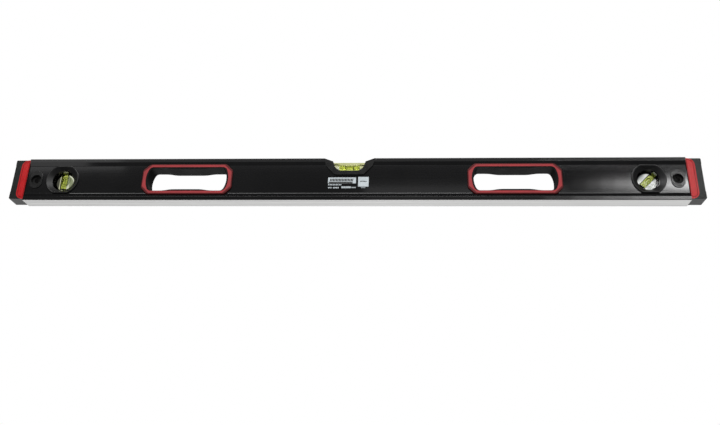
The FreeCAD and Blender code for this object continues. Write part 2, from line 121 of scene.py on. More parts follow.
def make_grain_group():
    """Fine grain of a moulded or coated surface, with a slow mottle over it."""
    group, ins, outs = new_group("surface_grain", ["Grain Size", "Mottle Size"], ["Height", "Mottle"])
    place = add(group, "ShaderNodeTexCoord").outputs["Object"]
    fine = add(group, "ShaderNodeTexNoise",
               {"Vector": place, "Scale": maths(group, "DIVIDE", 1.0, ins.outputs["Grain Size"]),
                "Detail": 3.0, "Roughness": 0.6})
    slow = add(group, "ShaderNodeTexNoise",
               {"Vector": place, "Scale": maths(group, "DIVIDE", 1.0, ins.outputs["Mottle Size"]),
                "Detail": 2.0})
    group.links.new(fine.outputs[0], outs.inputs["Height"])
    group.links.new(slow.outputs[0], outs.inputs["Mottle"])
    return group


grain_group = make_grain_group()
NOISE_RANGE = (0.3, 0.7)


def make_lines_group():
    """Drawn or milled lines: noise that is long along X and fine across it."""
    group, ins, outs = new_group("drawn_lines", ["Length", "Pitch"], ["Lines"])
    place = add(group, "ShaderNodeTexCoord").outputs["Object"]
    along = maths(group, "DIVIDE", 1.0, ins.outputs["Length"])
    across = maths(group, "DIVIDE", 1.0, ins.outputs["Pitch"])
    scale = add(group, "ShaderNodeCombineXYZ", {"X": along, "Y": across, "Z": across}).outputs[0]
    stretched = add(group, "ShaderNodeVectorMath", {0: place, 1: scale}, operation="MULTIPLY").outputs[0]
    noise = add(group, "ShaderNodeTexNoise", {"Vector": stretched, "Scale": 1.0, "Detail": 2.0})
    group.links.new(noise.outputs[0], outs.inputs["Lines"])
    return group


lines_group = make_lines_group()


def placed(tree, group, **inputs):
    """A node group placed in a material with its own values."""
    node = tree.nodes.new("ShaderNodeGroup")
    node.node_tree = group
    for name, value in inputs.items():
        node.inputs[name.replace("_", " ")].default_value = value
    return node


def finish_surface(tree, shader, colours, roughness, grain, height):
    """Mottled colour and roughness and a fine bump on one shader, all from one placed grain group."""
    mottle = grain.outputs["Mottle"]
    colour = mixed(tree, between(tree, mottle, *NOISE_RANGE), *colours)
    tree.links.new(colour, shader.inputs["Base Color"])
    tree.links.new(between(tree, mottle, *NOISE_RANGE, *roughness), shader.inputs["Roughness"])
    relief = {"Height": grain.outputs["Height"], "Distance": height, "Strength": 1.0}
    tree.links.new(add(tree, "ShaderNodeBump", relief).outputs[0], shader.inputs["Normal"])


def shade_hollows(tree, shader, face, hollow_shade, hollow_rough):
    """Painted shade: darker, and duller, below a face, where it dips into a groove or hole."""
    fade = 0.12 * MM
    depth = maths(tree, "ABSOLUTE", coordinates(tree)["Y"])
    below = between(tree, depth, face - fade, face, 1.0, 0.0)
    colour, rough = (shader.inputs[name].links[0].from_socket for name in ("Base Color", "Roughness"))
    tree.links.new(mixed(tree, below, colour, hollow_shade), shader.inputs["Base Color"])
    dull = add(tree, "ShaderNodeMix", {0: below, 2: rough, 3: hollow_rough}).outputs[0]
    tree.links.new(dull, shader.inputs["Roughness"])


def make_frame_finish():
    coat_dark, coat_light = (0.0040, 0.0040, 0.0043, 1), (0.0056, 0.0056, 0.0059, 1)
    metal_dark, metal_light = (0.68, 0.68, 0.675, 1), (0.80, 0.80, 0.79, 1)
    coat_gloss, metal_gloss = (0.062, 0.076), (0.34, 0.46)
    milled_above, relief_height = 0.02 * MM, 0.002 * MM
    milling_share, streak_range = 0.4, (0.35, 0.65)
    material, tree, shader = new_material("coated_aluminium")
    grain = placed(tree, grain_group, Grain_Size=1.4 * MM, Mottle_Size=60 * MM)
    die_lines = placed(tree, lines_group, Length=240 * MM, Pitch=1.1 * MM).outputs[0]
    milling = placed(tree, lines_group, Length=60 * MM, Pitch=0.7 * MM).outputs[0]
    feed = placed(tree, lines_group, Length=400 * MM, Pitch=5 * MM).outputs[0]
    bare = maths(tree, "LESS_THAN", coordinates(tree)["Z"], milled_above)
    coat = mixed(tree, between(tree, grain.outputs["Mottle"], *NOISE_RANGE), coat_dark, coat_light)
    streak = maths(tree, "ADD", maths(tree, "MULTIPLY", milling, milling_share),
                   maths(tree, "MULTIPLY", feed, 1 - milling_share))
    metal = mixed(tree, between(tree, streak, *streak_range), metal_dark, metal_light)
    tree.links.new(mixed(tree, bare, coat, metal), shader.inputs["Base Color"])
    tree.links.new(bare, shader.inputs["Metallic"])
    coat_rough = between(tree, die_lines, *NOISE_RANGE, *coat_gloss)
    metal_rough = between(tree, milling, *NOISE_RANGE, *metal_gloss)
    rough = add(tree, "ShaderNodeMix", {0: bare, 2: coat_rough, 3: metal_rough}).outputs[0]
    tree.links.new(rough, shader.inputs["Roughness"])
    relief = add(tree, "ShaderNodeMix", {0: bare, 2: grain.outputs["Height"], 3: milling}).outputs[0]
    bump = add(tree, "ShaderNodeBump", {"Height": relief, "Distance": relief_height, "Strength": 1.0})
    tree.links.new(bump.outputs[0], shader.inputs["Normal"])
    return material


def dress(material, *names):
    """Give CAD nodes a finish in place of the plain one that they come with."""
    for name in names:
        mesh = nodes[name].data
        mesh.materials.clear()
        mesh.materials.append(material)


dress(make_frame_finish(), "frame_profile")


# Magnets. Four sintered bars in the channel behind the measuring face, nickel-plated and slightly
# pitted. The lower flange hides them.
def make_magnet_finish():
    dull, bright = (0.30, 0.30, 0.29, 1), (0.42, 0.41, 0.39, 1)
    material, tree, shader = new_material("plated_magnet", Metallic=1.0)
    grain = placed(tree, grain_group, Grain_Size=0.8 * MM, Mottle_Size=9 * MM)
    finish_surface(tree, shader, (dull, bright), (0.3, 0.5), grain, 0.03 * MM)
    return material


dress(make_magnet_finish(), *["base_magnet_%d" % number for number in range(1, 5)])


# End caps. Black rubber caps moulded in one piece with the tube that plugs into the profile. The skin is
# finely spark-eroded and a little paler where it has been handled.
def make_rubber_finish():
    fresh, handled = (0.010, 0.011, 0.010, 1), (0.016, 0.017, 0.016, 1)
    material, tree, shader = new_material("cap_rubber", IOR=1.32)
    grain = placed(tree, grain_group, Grain_Size=0.55 * MM, Mottle_Size=14 * MM)
    finish_surface(tree, shader, (fresh, handled), (0.22, 0.28), grain, 0.02 * MM)
    return material


dress(make_rubber_finish(), "left_end_cap", "right_end_cap")


# Cap inlays. Red moulded plates glued into the caps, each with a rim, a groove and a raised pad.
# The plastic is glossier than the rubber around it, and painted shade darkens it below the rim's face.
def make_inlay_finish():
    red_dark, red_light = (0.38, 0.006, 0.008, 1), (0.44, 0.009, 0.011, 1)
    groove_shade_red = (0.16, 0.002, 0.003, 1)
    rim_face, groove_rough = 11.3 * MM, 0.5
    material, tree, shader = new_material("inlay_red", IOR=1.36)
    grain = placed(tree, grain_group, Grain_Size=0.9 * MM, Mottle_Size=12 * MM)
    finish_surface(tree, shader, (red_dark, red_light), (0.20, 0.26), grain, 0.006 * MM)
    # Painted shade: darker red in the groove, below the rim's face.
    shade_hollows(tree, shader, rim_face, groove_shade_red, groove_rough)
    return material


sides = ("left", "right")
faces = ("front", "back")
four_places = [(side, face) for side in sides for face in faces]
dress(make_inlay_finish(), *["%s_cap_inlay_%s" % place for place in four_places])


# Hand holds. Black plastic shells that line each window from both sides and meet inside the profile.
# The finger hole has a fine moulded texture.
def make_grip_finish():
    black_dark, black_light = (0.005, 0.005, 0.005, 1), (0.008, 0.008, 0.008, 1)
    material, tree, shader = new_material("grip_black", IOR=1.15)
    grain = placed(tree, grain_group, Grain_Size=0.6 * MM, Mottle_Size=15 * MM)
    finish_surface(tree, shader, (black_dark, black_light), (0.42, 0.5), grain, 0.02 * MM)
    return material


dress(make_grip_finish(), *["%s_grip_%s" % place for place in four_places])


# Soft bands. Red elastomer moulded onto the flange of each hand hold, with a rounded outer edge.
# It is matt and takes up a little grime in its grain; painted shade darkens it along that edge.
def paint_rim_shade(tree, shader, centre, half, corner, width, rim_shade_colour):
    """Painted shade along the outer edge of a band, whose outline is a rectangle with cut corners."""
    fade = 0.3 * width
    place = coordinates(tree)
    along = maths(tree, "ABSOLUTE", maths(tree, "SUBTRACT", maths(tree, "ABSOLUTE", place["X"]), centre.x))
    up = maths(tree, "ABSOLUTE", maths(tree, "SUBTRACT", place["Z"], centre.z))
    past_end = maths(tree, "SUBTRACT", along, half.x)
    past_side = maths(tree, "SUBTRACT", up, half.z)
    past_corner = maths(tree, "SUBTRACT", maths(tree, "ADD", along, up), half.x + half.z - corner)
    past_corner = maths(tree, "MULTIPLY", past_corner, math.sqrt(0.5))
    outside = maths(tree, "MAXIMUM", maths(tree, "MAXIMUM", past_end, past_side), past_corner)
    rim = between(tree, outside, -width - fade, -width + fade)
    colour = shader.inputs["Base Color"].links[0].from_socket
    tree.links.new(mixed(tree, rim, colour, rim_shade_colour), shader.inputs["Base Color"])


def make_trim_finish():
    red_dark, red_light = (0.27, 0.020, 0.024, 1), (0.33, 0.028, 0.032, 1)
    rim_shade_red = (0.09, 0.003, 0.004, 1)
    corner, rim_width = 12 * MM, 1.7 * MM
    material, tree, shader = new_material("grip_trim_red", IOR=1.33)
    grain = placed(tree, grain_group, Grain_Size=0.7 * MM, Mottle_Size=18 * MM)
    finish_surface(tree, shader, (red_dark, red_light), (0.5, 0.6), grain, 0.03 * MM)
    low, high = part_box("right_grip_trim_front")
    # Painted shade along the rounded outer edge of the band.
    paint_rim_shade(tree, shader, (low + high) / 2, (high - low) / 2, corner, rim_width, rim_shade_red)
    return material


dress(make_trim_finish(), *["%s_grip_trim_%s" % place for place in four_places])


# Round vial housings. Black rings pressed into the windows from the front and the back, each with a
# bezel and a tapered well that leads down to the clear disc.
def make_housing_finish():
    black_dark, black_light = (0.004, 0.004, 0.004, 1), (0.006, 0.006, 0.006, 1)
    material, tree, shader = new_material("housing_black", IOR=1.5)
    grain = placed(tree, grain_group, Grain_Size=0.5 * MM, Mottle_Size=10 * MM)
    finish_surface(tree, shader, (black_dark, black_light), (0.30, 0.38), grain, 0.004 * MM)
    return material


housing_finish = make_housing_finish()
for vial in ("plumb", "angle"):
    dress(housing_finish, *["%s_vial_housing_%s" % (vial, face) for face in faces])


# Round vials. A clear acrylic disc is bored from its rim, filled with yellow-green spirit that leaves a
# bubble, and closed with a half-clear cream plug. Two black rings on the bore mark where the bubble rests,
# and the sawn rim of the disc is black against its housing. The discs' grey-green tint and the dark and
# pale bands in it are painted shade and painted highlight.
def make_acrylic_finish(name, dark, light, ior, rough=(0.01, 0.03)):
    soft_glint = (0.12, 0.12, 0.12, 1)
    material, tree, shader = new_material(name, IOR=ior, Transmission_Weight=1.0, Specular_Tint=soft_glint)
    grain = placed(tree, grain_group, Grain_Size=6 * MM, Mottle_Size=8 * MM)
    finish_surface(tree, shader, (dark, light), rough, grain, 0.002 * MM)
    return material


def paint_disc_light(material, middle, way, start, end, tint):
    """A band of painted light on a clear disc, dark for shade and pale for highlight, from a distance along a
    direction or, with none given, from its axis.
    """
    tree, shader = material.node_tree, material.node_tree.nodes["Principled BSDF"]
    place = add(tree, "ShaderNodeTexCoord").outputs["Object"]
    offset = add(tree, "ShaderNodeVectorMath", {0: place, 1: middle}, operation="SUBTRACT").outputs[0]
    if way:
        ahead = Vector(way).normalized()
        reach = add(tree, "ShaderNodeVectorMath", {0: offset, 1: ahead}, operation="DOT_PRODUCT")
    else:
        across = add(tree, "ShaderNodeVectorMath", {0: offset, 1: (1, 0, 1)}, operation="MULTIPLY").outputs[0]
        reach = add(tree, "ShaderNodeVectorMath", {0: across}, operation="LENGTH")
    shade = between(tree, reach.outputs["Value"], start * MM, end * MM)
    colour = shader.inputs["Base Color"].links[0].from_socket
    tree.links.new(mixed(tree, shade, colour, tint), shader.inputs["Base Color"])


def make_rim_finish():
    black, worn = (0.008, 0.008, 0.007, 1), (0.05, 0.052, 0.048, 1)
    material, tree, shader = new_material("disc_rim", IOR=1.5)
    grain = placed(tree, grain_group, Grain_Size=0.8 * MM, Mottle_Size=5 * MM)
    finish_surface(tree, shader, (black, worn), (0.4, 0.6), grain, 0.01 * MM)
    return material


def make_spirit_finish():
    """Its index is low, since acrylic and not air lies round it."""
    green, yellow = (0.54, 0.61, 0.13, 1), (0.72, 0.77, 0.25, 1)
    material, tree, shader = new_material("vial_spirit", IOR=1.02, Transmission_Weight=1.0)
    grain = placed(tree, grain_group, Grain_Size=5 * MM, Mottle_Size=7 * MM)
    finish_surface(tree, shader, (green, yellow), (0.0, 0.02), grain, 0.001 * MM)
    return material


def make_bubble_finish():
    pale, paler = (0.95, 0.97, 0.80, 1), (0.98, 1.0, 0.86, 1)
    material, tree, shader = new_material("vial_bubble", IOR=1.33, Transmission_Weight=1.0)
    grain = placed(tree, grain_group, Grain_Size=4 * MM, Mottle_Size=5 * MM)
    finish_surface(tree, shader, (pale, paler), (0.0, 0.01), grain, 0.0005 * MM)
    return material


def make_ink_finish():
    black_dark, black_light = (0.004, 0.004, 0.004, 1), (0.008, 0.008, 0.008, 1)
    material, tree, shader = new_material("black_ink", IOR=1.45)
    grain = placed(tree, grain_group, Grain_Size=0.3 * MM, Mottle_Size=2 * MM)
    finish_surface(tree, shader, (black_dark, black_light), (0.4, 0.5), grain, 0.002 * MM)
    return material


def make_stopper_finish():
    cream_dark, cream_light = (0.80, 0.82, 0.62, 1), (0.88, 0.90, 0.72, 1)
    material, tree, shader = new_material("stopper_cream", IOR=1.14, Transmission_Weight=0.5)
    grain = placed(tree, grain_group, Grain_Size=2 * MM, Mottle_Size=4 * MM)
    finish_surface(tree, shader, (cream_dark, cream_light), (0.25, 0.35), grain, 0.002 * MM)
    return material


bore_wall = make_acrylic_finish("bore_wall", (0.95, 0.96, 0.94, 1), (0.98, 0.98, 0.97, 1), 1.16, (0.0, 0.02))
disc_rim = make_rim_finish()
spirit = make_spirit_finish()
bubble_skin = make_bubble_finish()
ink = make_ink_finish()
stopper_cream = make_stopper_finish()
TURN_STEPS = 96
ACRYLIC_IOR = 1.49
to_metres = Matrix.Scale(MM, 4)


def turned(mesh, profile, closed=False, material_indices=(0,)):
    """Turn a profile of (along, radius) points in millimetres about X, with a fan where the radius is 0."""
    rings = []
    for along, radius in profile:
        if radius == 0:
            rings.append([mesh.verts.new((along, 0, 0))])
        else:
            rings.append([mesh.verts.new((along, radius * math.cos(a), radius * math.sin(a)))
                          for a in (math.tau * i / TURN_STEPS for i in range(TURN_STEPS))])
    pairs = list(zip(rings, rings[1:] + rings[:1])) if closed else list(zip(rings, rings[1:]))
    for step, (first, second) in enumerate(pairs):
        for i in range(TURN_STEPS):
            j = (i + 1) % TURN_STEPS
            around = (first[i % len(first)], second[i % len(second)],
                      second[j % len(second)], first[j % len(first)])
            corners = []
            for vert in around:
                if vert not in corners:
                    corners.append(vert)
            face = mesh.faces.new(corners)
            face.material_index = material_indices[step % len(material_indices)]
            face.smooth = True


def finished_piece(name, mesh, placement, materials, slot, *replaced):
    """Turn a bmesh drawn in millimetres into a piece that rides on the level."""
    data = bpy.data.meshes.new(name)
    mesh.to_mesh(data)
    mesh.free()
    data.transform(placement)
    for material in materials:
        data.materials.append(material)
    piece = bpy.data.objects.new(name, data)
    bpy.context.scene.collection.objects.link(piece)
    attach(piece, "root")
    if replaced:
        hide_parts(*replaced)
    return piece


def sharpen(piece, degrees=30):
    """Keep the corners of a turned or bevelled piece crisp under smooth shading."""
    limit = math.radians(degrees)
    mesh = bmesh.new()
    mesh.from_mesh(piece.data)
    for edge in mesh.edges:
        if len(edge.link_faces) == 2 and edge.calc_face_angle() > limit:
            edge.smooth = False
    mesh.to_mesh(piece.data)
    mesh.free()


def barrel_profile(half_length, radius, crown, steps=24):
    """Barrel outline of a bore, widest by crown at its middle."""
    points = [(-half_length, 0)]
    for i in range(steps + 1):
        along = -half_length + 2 * half_length * i / steps
        points.append((along, radius - crown * (along / half_length) ** 2))
    return points + [(half_length, 0)]


def add_bubble(mesh, length, wide, deep, reach, middle, material_index):
    """Gas bubble against the front of its bore: an egg flattened where it meets the wall, facing inwards."""
    fullness, pole = 2.6, 0.999
    before = set(mesh.verts)
    bmesh.ops.create_uvsphere(mesh, u_segments=64, v_segments=40, radius=1)
    verts = [v for v in mesh.verts if v not in before]
    lift = reach - deep / 2
    for v in verts:
        x, y, z = v.co
        spread = 1.0
        if abs(x) < pole:
            spread = (1 - abs(x) ** fullness) ** 0.5 / (1 - x * x) ** 0.5
        v.co = (x * length / 2 + middle, y * spread * deep / 2 - lift, z * spread * wide / 2)
        from_axis = math.hypot(v.co.y, v.co.z)
        if from_axis > reach:
            v.co.y *= reach / from_axis
            v.co.z *= reach / from_axis
    for face in {f for v in verts for f in v.link_faces}:
        face.normal_flip()
        face.smooth = True
        face.material_index = material_index


def add_bore(mesh, placement, half_length, radius, crown, plug, material_index):
    """The bore and its plug hole as a hollow inside a clear piece, a little wider than what fills it."""
    gap = 0.04
    start, end, plug_radius = plug[:3]
    side = 1 if end > start else -1
    barrel = barrel_profile(half_length + gap, radius + gap, crown)[:-1]
    if side < 0:
        barrel = [(-along, across) for along, across in barrel]
    bottom = end + side * gap
    hollow = bmesh.new()
    turned(hollow, barrel + [(bottom, plug_radius + gap), (bottom, 0)], False, (material_index,))
    bmesh.ops.recalc_face_normals(hollow, faces=hollow.faces)
    bmesh.ops.reverse_faces(hollow, faces=hollow.faces)
    hollow.transform(placement)
    data = bpy.data.meshes.new("bore")
    hollow.to_mesh(data)
    hollow.free()
    mesh.from_mesh(data)
    bpy.data.meshes.remove(data)


def bore_parts(name, placement, half_length, radius, crown, line_offset, middle, plug, bubble_size):
    """The spirit with its bubble, the rings that mark its place and the plug, all along one bore."""
    film, line_width, line_lift, line_depth = 0.3, 0.6, 0.06, 0.1
    mesh = bmesh.new()
    turned(mesh, barrel_profile(half_length, radius, crown))
    bmesh.ops.recalc_face_normals(mesh, faces=mesh.faces)
    add_bubble(mesh, *bubble_size, radius - film, middle, 1)
    sharpen(finished_piece(name + "_spirit", mesh, placement, (spirit, bubble_skin), "vial_fluid",
                           name + "_fluid"))
    mesh = bmesh.new()
    for along in (middle - line_offset, middle + line_offset):
        inner = radius - crown * (along / half_length) ** 2 + line_lift
        outer = inner + line_depth
        start, end = along - line_width / 2, along + line_width / 2
        turned(mesh, [(start, inner), (start, outer), (end, outer), (end, inner)], closed=True)
    bmesh.ops.recalc_face_normals(mesh, faces=mesh.faces)
    sharpen(finished_piece(name + "_rings", mesh, placement, (ink,), "vial_housing"))
    start, end, plug_radius, chamfer = plug
    mesh = bmesh.new()
    turned(mesh, [(start, 0), (start, plug_radius), (end - chamfer, plug_radius),
                  (end, plug_radius - chamfer), (end, 0)])
    bmesh.ops.recalc_face_normals(mesh, faces=mesh.faces)
    sharpen(finished_piece(name + "_stopper", mesh, placement, (stopper_cream,), "vial_block",
                           name + "_plug"))


def round_vial(name, tilt, shade_tints, shades):
    low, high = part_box(name + "_block")
    middle = (low + high) / 2
    play, edge = 0.05, 0.35
    radius, half = (high.x - low.x) / 2 / MM, (high.y - low.y) / 2 / MM - play
    bore_depth, bore_radius, crown = 12.6, 5.2, 0.35
    plug_length, plug_radius, plug_lip, chamfer, slack = 3.6, 4.8, 0.9, 0.3, 0.05
    line_offset, bubble_size = 5.4, (9.6, 5.4, 3.7)
    plug_from = radius - plug_length
    half_bore = (plug_from + bore_depth) / 2
    shift = plug_from - half_bore
    bore = (half_bore, bore_radius, crown)
    plug = (half_bore + slack, radius - shift - plug_lip, plug_radius, chamfer)
    facing = Matrix.Rotation(math.pi / 2, 4, "Z")
    tilted = Matrix.Rotation(-tilt, 4, "Y") @ Matrix.Translation((shift, 0, 0))
    mesh = bmesh.new()
    turned(mesh, [(-half, 0), (-half, radius - edge), (-half + edge, radius), (half - edge, radius),
                  (half, radius - edge), (half, 0)], False, (0, 0, 1, 0, 0))
    bmesh.ops.recalc_face_normals(mesh, faces=mesh.faces)
    add_bore(mesh, facing.inverted() @ tilted, *bore, plug, 2)
    clear = make_acrylic_finish(name + "_acrylic", *shade_tints, ACRYLIC_IOR)
    for shade in shades:
        paint_disc_light(clear, middle, *shade)
    here = Matrix.Translation(middle) @ to_metres
    sharpen(finished_piece(name + "_disc", mesh, here @ facing, (clear, disc_rim, bore_wall), "vial_block",
                           name + "_block"))
    bore_parts(name, here @ tilted, *bore, line_offset, -shift, plug, bubble_size)


to_right, to_left, to_upper_left = (1, 0, 0), (-1, 0, 0), (-1, 0, 1)
# Plumb disc: the grey-green tint is painted shade; dark bands right of the bore and at its far left are
# painted shade, and a ring near the rim and a cream line left of the bore are painted highlight.
plumb_shade_tints = (0.40, 0.42, 0.28, 1), (0.60, 0.62, 0.44, 1)
plumb_shades = (
    (to_right, 5.6, 6.6, (0.09, 0.11, 0.05, 1)),
    (None, 11.0, 11.6, (0.60, 0.62, 0.48, 1)),
    (to_left, 4.8, 5.3, (0.45, 0.45, 0.26, 1)),
    (to_left, 8.4, 9.2, (0.01, 0.01, 0.01, 1)))
round_vial("plumb_vial", math.radians(90), plumb_shade_tints, plumb_shades)
# Angle disc: the grey tint is painted shade, with more painted shade towards the upper left and on the right.
angle_shade_tints = (0.44, 0.46, 0.44, 1), (0.70, 0.71, 0.68, 1)
angle_shades = (
    (to_upper_left, 8.0, 13.0, (0.10, 0.11, 0.11, 1)),
    (to_right, 8.0, 12.0, (0.30, 0.31, 0.30, 1)))
round_vial("angle_vial", math.radians(45), angle_shade_tints, angle_shades)


# Vial saddle. A black moulding that straddles the notch in the top edge: two plates over the webs and
# the ramps and bowl that carry the middle vial.
def make_saddle_finish():
    black_dark, black_light = (0.0055, 0.0055, 0.0055, 1), (0.0075, 0.0075, 0.0075, 1)
    material, tree, shader = new_material("saddle_black", IOR=1.25)
    grain = placed(tree, grain_group, Grain_Size=0.6 * MM, Mottle_Size=10 * MM)
    finish_surface(tree, shader, (black_dark, black_light), (0.24, 0.30), grain, 0.010 * MM)
    return material


dress(make_saddle_finish(), "centre_vial_saddle")


# Middle vial. A bowl-shaped block of clear acrylic that fills the notch, with the same kind of bore,
# bubble and rings lying along the level.
def rounded_corner(corner, before, after, radius, steps=16):
    """Points of the arc that rounds one corner of an outline."""
    back, ahead = (before - corner).normalized(), (after - corner).normalized()
    turn = back.angle(ahead)
    reach, lift = radius / math.tan(turn / 2), radius / math.sin(turn / 2)
    centre = corner + (back + ahead).normalized() * lift
    start, end = corner + back * reach - centre, corner + ahead * reach - centre
    return [centre + start.slerp(end, i / steps) for i in range(steps + 1)]


def middle_vial():
    low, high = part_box("centre_vial_block")
    low, high = low / MM, high / MM
    floor_half, floor_radius, edge = 18.86, 11.8, 0.3
    half_bore, radius, crown, cover = 15.0, 5.2, 0.3, 1.4
    plug_end, plug_radius, chamfer, slack = 22.2, 4.8, 0.3, 0.05
    line_offset, bubble_size = 5.8, (10.4, 5.4, 3.7)
    olive_dark, olive_light = (0.48, 0.49, 0.24, 1), (0.58, 0.59, 0.32, 1)
    olive_acrylic = make_acrylic_finish("olive_acrylic", olive_dark, olive_light, ACRYLIC_IOR)
    corners = [Vector((high.x, 0, high.z)), Vector((floor_half, 0, low.z)),
               Vector((-floor_half, 0, low.z)), Vector((low.x, 0, high.z))]
    outline = [corners[0]] + rounded_corner(corners[1], corners[0], corners[2], floor_radius)
    outline += rounded_corner(corners[2], corners[1], corners[3], floor_radius) + [corners[3]]
    mesh = bmesh.new()
    front = mesh.faces.new([mesh.verts.new((p.x, low.y, p.z)) for p in outline])
    walls = bmesh.ops.extrude_face_region(mesh, geom=[front])
    for v in walls["geom"]:
        if isinstance(v, bmesh.types.BMVert):
            v.co.y = high.y
    bmesh.ops.recalc_face_normals(mesh, faces=mesh.faces)
    sharp = [e for e in mesh.edges if e.calc_face_angle() > math.radians(30)]
    bmesh.ops.bevel(mesh, geom=sharp, offset=edge, segments=2, affect="EDGES", profile=0.5)
    for face in mesh.faces:
        face.smooth = True
    bore = (half_bore, radius, crown)
    plug = (-half_bore - slack, -plug_end, plug_radius, -chamfer)
    along = Matrix.Translation((0, 0, high.z - cover - radius))
    add_bore(mesh, along, *bore, plug, 1)
    sharpen(finished_piece("centre_vial_bowl", mesh, to_metres, (olive_acrylic, bore_wall), "vial_block",
                           "centre_vial_block"))
    bore_parts("centre_vial", to_metres @ along, *bore, line_offset, 0.0, plug, bubble_size)


middle_vial()


# Hanging eyelets. Oval black bushes in two halves, pushed through the profile and the cap's tube, with a
# dished face round the hole. Painted shade makes the dish near black.
def make_eyelet_finish():
    black_dark, black_light = (0.005, 0.005, 0.005, 1), (0.008, 0.008, 0.008, 1)
    ring_face, dish_shade_black, dish_rough = 10.4 * MM, (0.002, 0.002, 0.002, 1), 0.75
    material, tree, shader = new_material("eyelet_black", IOR=1.45)
    grain = placed(tree, grain_group, Grain_Size=0.5 * MM, Mottle_Size=8 * MM)
    finish_surface(tree, shader, (black_dark, black_light), (0.14, 0.2), grain, 0.006 * MM)
    # Painted shade: the dish round the hole is near black.
    shade_hollows(tree, shader, ring_face, dish_shade_black, dish_rough)
    return material


dress(make_eyelet_finish(), *["%s_eyelet_%s" % place for place in four_places])


# Printed fields. Silver ink on the front web below the middle vial: a wide field with a row of slanted
# dark strokes over a bar, lines of dashes under it, and a square field with a finely dashed tab.
def make_silver_finish():
    silver_dark, silver_light = (0.41, 0.46, 0.48, 1), (0.50, 0.55, 0.57, 1)
    material, tree, shader = new_material("silver_ink", IOR=1.5)
    grain = placed(tree, grain_group, Grain_Size=0.25 * MM, Mottle_Size=5 * MM)
    finish_surface(tree, shader, (silver_dark, silver_light), (0.4, 0.5), grain, 0.004 * MM)
    return material


def ink_layer(mesh, corners, top, bottom, material_index):
    """A thin layer of ink over a polygon of (x, z) corners."""
    count = len(corners)
    upper = [mesh.verts.new((x, top, z)) for x, z in corners]
    lower = [mesh.verts.new((x, bottom, z)) for x, z in corners]
    edges = [mesh.faces.new((upper[i], upper[(i + 1) % count], lower[(i + 1) % count], lower[i]))
             for i in range(count)]
    for face in [mesh.faces.new(upper), mesh.faces.new(lower[::-1])] + edges:
        face.material_index = material_index


def box_corners(left, low, right, high, slant=0.0):
    return [(left, low), (right, low), (right + slant, high), (left + slant, high)]


def printed_fields():
    """Each field and row goes from left, low to right, high, in millimetres across the front."""
    web = -9.5
    web_top, silver_top, ink_top = web - 0.002, web - 0.04, web - 0.07
    lean = 0.9
    mesh = bmesh.new()

    def field(left, low, right, high):
        ink_layer(mesh, box_corners(left, low, right, high), silver_top, web_top, 0)

    def dashes(left, low, right, high, mark, gap, slant=0.0, dark=False):
        """A row of equal dashes, in silver on the coat or dark on a field."""
        top, bottom, index = (ink_top, silver_top, 1) if dark else (silver_top, web_top, 0)
        while left + mark <= right + 1e-6:
            ink_layer(mesh, box_corners(left, low, left + mark, high, slant), top, bottom, index)
            left += mark + gap

    field(-30.1, 27.0, 10.4, 36.4)
    ink_layer(mesh, box_corners(-29.0, 27.1, 5.6, 29.4), ink_top, silver_top, 1)
    dashes(-27.9, 30.2, 6.2, 34.5, 1.8, 2.5, lean, True)
    dashes(-25.6, 30.2, 7.0, 34.5, 1.4, 2.9, lean, True)
    for row in ((-29.6, 23.8, -9.4, 25.9, 1.3, 0.9), (-29.6, 19.1, -24.2, 21.1, 1.2, 0.6),
                (-22.6, 19.1, -13.8, 21.1, 1.6, 0.6), (-10.4, 19.2, 3.8, 22.2, 2.2, 0.6),
                (4.2, 19.5, 10.8, 21.2, 1.1, 0.5)):
        dashes(*row)
    field(13.5, 21.8, 28.7, 37.3)
    dashes(16.6, 29.3, 26.6, 30.9, 1.4, 0.5, 0.0, True)
    dashes(18.2, 19.4, 24.8, 21.0, 0.45, 0.6)
    bmesh.ops.recalc_face_normals(mesh, faces=mesh.faces)
    finished_piece("front_printed_fields", mesh, to_metres, (make_silver_finish(), ink), "frame")


printed_fields()


# Studio. A pale floor under the measuring face that fades into a white surround, and soft lamps: a row
# above the front, and two rows low on the right that draw the sheen along that end of the level.
def make_floor():
    half_size, drop, fade_from, fade_to = 1.5, 0.2 * MM, 0.62, 1.40
    pale_dark, pale_light = (0.86, 0.86, 0.86, 1), (0.88, 0.88, 0.88, 1)
    mesh = bmesh.new()
    bmesh.ops.create_grid(mesh, x_segments=1, y_segments=1, size=half_size)
    data = bpy.data.meshes.new("studio_floor")
    mesh.to_mesh(data)
    mesh.free()
    floor = bpy.data.objects.new("studio_floor", data)
    floor.location.z = -drop
    bpy.context.scene.collection.objects.link(floor)
    material, tree, shader = new_material("floor_white", Roughness=0.9, Specular_IOR_Level=0.1)
    grain = placed(tree, grain_group, Grain_Size=3 * MM, Mottle_Size=900 * MM)
    finish_surface(tree, shader, (pale_dark, pale_light), (0.88, 0.92), grain, 0.01 * MM)
    under = add(tree, "ShaderNodeNewGeometry").outputs["Backfacing"]
    place = add(tree, "ShaderNodeTexCoord").outputs["Object"]
    away = add(tree, "ShaderNodeVectorMath", {0: place}, operation="LENGTH").outputs["Value"]
    gone = maths(tree, "MAXIMUM", under, between(tree, away, fade_from, fade_to))
    clear = add(tree, "ShaderNodeBsdfTransparent").outputs[0]
    split = add(tree, "ShaderNodeMixShader", {0: gone, 1: shader.outputs[0], 2: clear})
    tree.links.new(split.outputs[0], tree.nodes["Material Output"].inputs["Surface"])
    data.materials.append(material)
    floor.visible_diffuse = floor.visible_glossy = floor.visible_shadow = False
    floor.visible_transmission = floor.visible_volume_scatter = False


